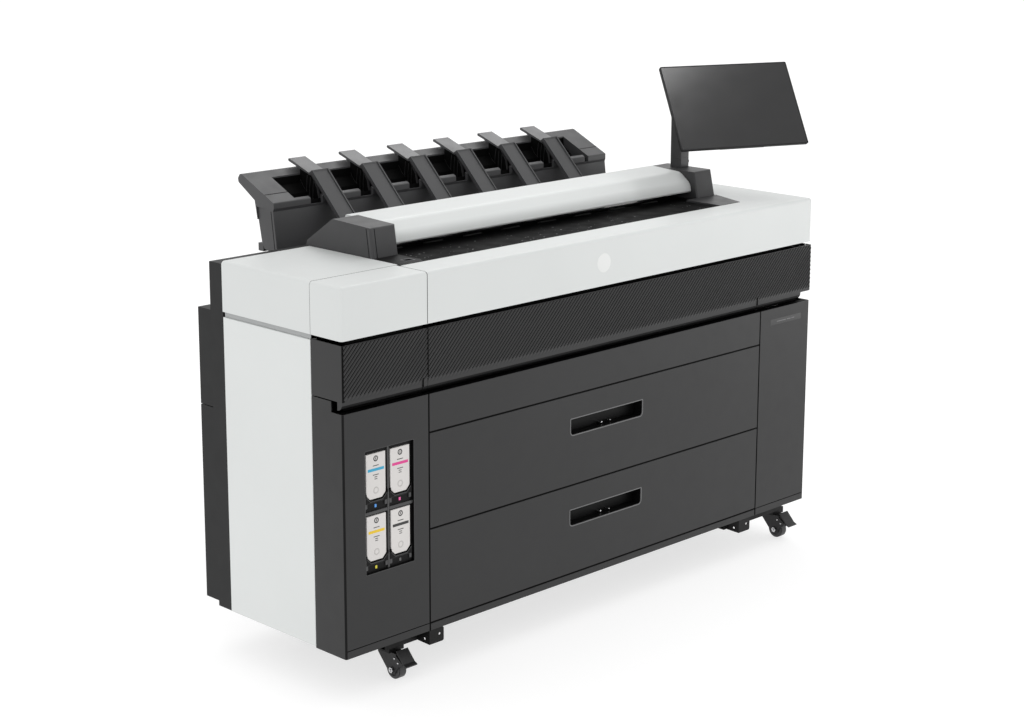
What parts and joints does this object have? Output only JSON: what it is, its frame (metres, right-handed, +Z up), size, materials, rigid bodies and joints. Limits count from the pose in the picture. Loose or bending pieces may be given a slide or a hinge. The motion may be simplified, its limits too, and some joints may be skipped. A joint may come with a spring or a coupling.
{
  "type": "large format plotter",
  "caption": "Wide format plotter cabinet with roll drawers, ink bay, top scanner, rear stacker with arms, touch display and casters.",
  "frame": {"origin": "on the floor under the middle of the whole machine's box", "axes": "+X to the right along the front, seen from the front, +Y to the back, +Z up"},
  "size_m": [1.8, 0.7762, 1.4305],
  "materials": {
    "white_cover": "fine satin",
    "white_panel": "fine texture",
    "dark_cover": "fine satin",
    "dark_band": "fine diagonal lines",
    "dark_sheet": "powder coat",
    "frame_steel": "powder coat",
    "bare_steel": "brushed",
    "stacker_plastic": "fine grain",
    "scanner_plastic": "fine grain",
    "bed_black": "semi gloss",
    "clear_glass": "polished",
    "screen_glass": "polished",
    "roller_rubber": "matte",
    "ink_body": "satin",
    "bay_plastic": "satin",
    "works_plastic": "moulded",
    "board_green": "satin",
    "wheel_grey": "matte"
  },
  "bodies": {
    "cabinet": {"band_side_panels": "dark_band", "base_frame": "frame_steel", "carriage_beam": "bare_steel", "carriage_drive": "bare_steel", "deck_corner_cap": "white_cover", "deck_left_cover": "white_cover", "deck_main_cover": "white_cover", "display_post": "scanner_plastic", "electronics": "board_green", "fixed_front_panel": "dark_cover", "front_skirt": "dark_cover", "ink_bay_frame": "bay_plastic", "inner_frame": "frame_steel", "left_front_cover": "dark_cover", "left_side_panel": "white_panel", "platen": "works_plastic", "power_inlet": "bay_plastic", "print_zone_chassis": "dark_sheet", "rear_cover": "dark_sheet", "rear_service_covers": "dark_sheet", "right_front_cover": "dark_cover", "right_side_panel": "white_panel", "scan_glass": "clear_glass", "scan_sensor_bar": "works_plastic", "scanner_bed": "bed_black", "scanner_left_cap": "scanner_plastic", "scanner_right_cap": "scanner_plastic", "service_station": "works_plastic", "stacker_arms": "stacker_plastic", "stacker_body": "stacker_plastic", "stacker_brackets": "frame_steel"},
    "scanner_lid": {"scanner_lid": "white_cover"},
    "scan_roller": {"scan_roller": "roller_rubber"},
    "front_door": {"front_door": "dark_band"},
    "carriage": {"carriage": "works_plastic", "printheads": "works_plastic"},
    "feed_roller": {"feed_roller": "roller_rubber"},
    "upper_drawer": {"upper_drawer_front": "dark_cover", "upper_drawer_tray": "frame_steel"},
    "upper_spindle": {"upper_drawer_spindle": "works_plastic"},
    "lower_drawer": {"lower_drawer_front": "dark_cover", "lower_drawer_tray": "frame_steel"},
    "lower_spindle": {"lower_drawer_spindle": "works_plastic"},
    "cartridge_cyan": {"ink_cartridge_cyan": "ink_body"},
    "cartridge_magenta": {"ink_cartridge_magenta": "ink_body"},
    "cartridge_yellow": {"ink_cartridge_yellow": "ink_body"},
    "cartridge_black": {"ink_cartridge_black": "ink_body"},
    "display_arm": {"display_arm": "scanner_plastic"},
    "display": {"display_housing": "scanner_plastic", "display_glass": "screen_glass"},
    "caster_front_left": {"caster_front_left_fork": "frame_steel"},
    "wheel_front_left": {"caster_front_left_wheel": "wheel_grey"},
    "pedal_front_left": {"caster_front_left_pedal": "frame_steel"},
    "caster_rear_left": {"caster_rear_left_fork": "frame_steel"},
    "wheel_rear_left": {"caster_rear_left_wheel": "wheel_grey"},
    "caster_front_right": {"caster_front_right_fork": "frame_steel"},
    "wheel_front_right": {"caster_front_right_wheel": "wheel_grey"},
    "pedal_front_right": {"caster_front_right_pedal": "frame_steel"},
    "caster_rear_right": {"caster_rear_right_fork": "frame_steel"},
    "wheel_rear_right": {"caster_rear_right_wheel": "wheel_grey"}
  },
  "joints": [
    {"name": "front_door_hinge", "type": "hinge", "parent": "cabinet", "child": "front_door", "pos_m": [0.136, -0.35167, 0.896], "axis": [-1, 0, 0], "range_deg": [0, 80]},
    {"name": "scanner_lid_hinge", "type": "hinge", "parent": "cabinet", "child": "scanner_lid", "pos_m": [0.06, 0.04233, 1.066], "axis": [-1, 0, 0], "range_deg": [0, 60]},
    {"name": "scan_roller_spin", "type": "hinge", "parent": "cabinet", "child": "scan_roller", "pos_m": [0.06, -0.06067, 1.0275], "axis": [1, 0, 0], "continuous": true},
    {"name": "feed_roller_spin", "type": "hinge", "parent": "cabinet", "child": "feed_roller", "pos_m": [0.03, -0.12067, 0.819], "axis": [1, 0, 0], "continuous": true},
    {"name": "carriage_travel", "type": "slide", "parent": "cabinet", "child": "carriage", "axis": [-1, 0, 0], "range_m": [0, 1.28]},
    {"name": "upper_drawer_slide", "type": "slide", "parent": "cabinet", "child": "upper_drawer", "axis": [0, -1, 0], "range_m": [0, 0.4]},
    {"name": "upper_spindle_spin", "type": "hinge", "parent": "upper_drawer", "child": "upper_spindle", "pos_m": [0.023, -0.11067, 0.519], "axis": [1, 0, 0], "continuous": true},
    {"name": "lower_drawer_slide", "type": "slide", "parent": "cabinet", "child": "lower_drawer", "axis": [0, -1, 0], "range_m": [0, 0.4]},
    {"name": "lower_spindle_spin", "type": "hinge", "parent": "lower_drawer", "child": "lower_spindle", "pos_m": [0.023, -0.11067, 0.273], "axis": [1, 0, 0], "continuous": true},
    {"name": "cyan_cartridge_slide", "type": "slide", "parent": "cabinet", "child": "cartridge_cyan", "axis": [0, -1, 0], "range_m": [0, 0.225]},
    {"name": "magenta_cartridge_slide", "type": "slide", "parent": "cabinet", "child": "cartridge_magenta", "axis": [0, -1, 0], "range_m": [0, 0.225]},
    {"name": "yellow_cartridge_slide", "type": "slide", "parent": "cabinet", "child": "cartridge_yellow", "axis": [0, -1, 0], "range_m": [0, 0.225]},
    {"name": "black_cartridge_slide", "type": "slide", "parent": "cabinet", "child": "cartridge_black", "axis": [0, -1, 0], "range_m": [0, 0.225]},
    {"name": "display_swivel", "type": "hinge", "parent": "cabinet", "child": "display_arm", "pos_m": [0.707, -0.01467, 1.145], "axis": [0, 0, 1], "range_deg": [-35, 35]},
    {"name": "display_tilt", "type": "hinge", "parent": "display_arm", "child": "display", "pos_m": [0.68612, -0.2104, 1.29596], "axis": [0.9265, -0.3762, 0], "range_deg": [-20, 30]},
    {"name": "swivel_front_left", "type": "hinge", "parent": "cabinet", "child": "caster_front_left", "pos_m": [-0.685, -0.27567, 0.07], "axis": [0, 0, 1], "continuous": true},
    {"name": "wheel_spin_front_left", "type": "hinge", "parent": "caster_front_left", "child": "wheel_front_left", "pos_m": [-0.685, -0.30067, 0.025], "axis": [1, 0, 0], "continuous": true},
    {"name": "brake_front_left", "type": "hinge", "parent": "caster_front_left", "child": "pedal_front_left", "pos_m": [-0.685, -0.31867, 0.057], "axis": [-1, 0, 0], "range_deg": [0, 12]},
    {"name": "swivel_rear_left", "type": "hinge", "parent": "cabinet", "child": "caster_rear_left", "pos_m": [-0.685, 0.07933, 0.07], "axis": [0, 0, 1], "continuous": true},
    {"name": "wheel_spin_rear_left", "type": "hinge", "parent": "caster_rear_left", "child": "wheel_rear_left", "pos_m": [-0.685, 0.05433, 0.025], "axis": [1, 0, 0], "continuous": true},
    {"name": "swivel_front_right", "type": "hinge", "parent": "cabinet", "child": "caster_front_right", "pos_m": [0.861, -0.27567, 0.07], "axis": [0, 0, 1], "continuous": true},
    {"name": "wheel_spin_front_right", "type": "hinge", "parent": "caster_front_right", "child": "wheel_front_right", "pos_m": [0.861, -0.30067, 0.025], "axis": [1, 0, 0], "continuous": true},
    {"name": "brake_front_right", "type": "hinge", "parent": "caster_front_right", "child": "pedal_front_right", "pos_m": [0.861, -0.31867, 0.057], "axis": [-1, 0, 0], "range_deg": [0, 12]},
    {"name": "swivel_rear_right", "type": "hinge", "parent": "cabinet", "child": "caster_rear_right", "pos_m": [0.861, 0.07933, 0.07], "axis": [0, 0, 1], "continuous": true},
    {"name": "wheel_spin_rear_right", "type": "hinge", "parent": "caster_rear_right", "child": "wheel_rear_right", "pos_m": [0.861, 0.05433, 0.025], "axis": [1, 0, 0], "continuous": true}
  ]
}
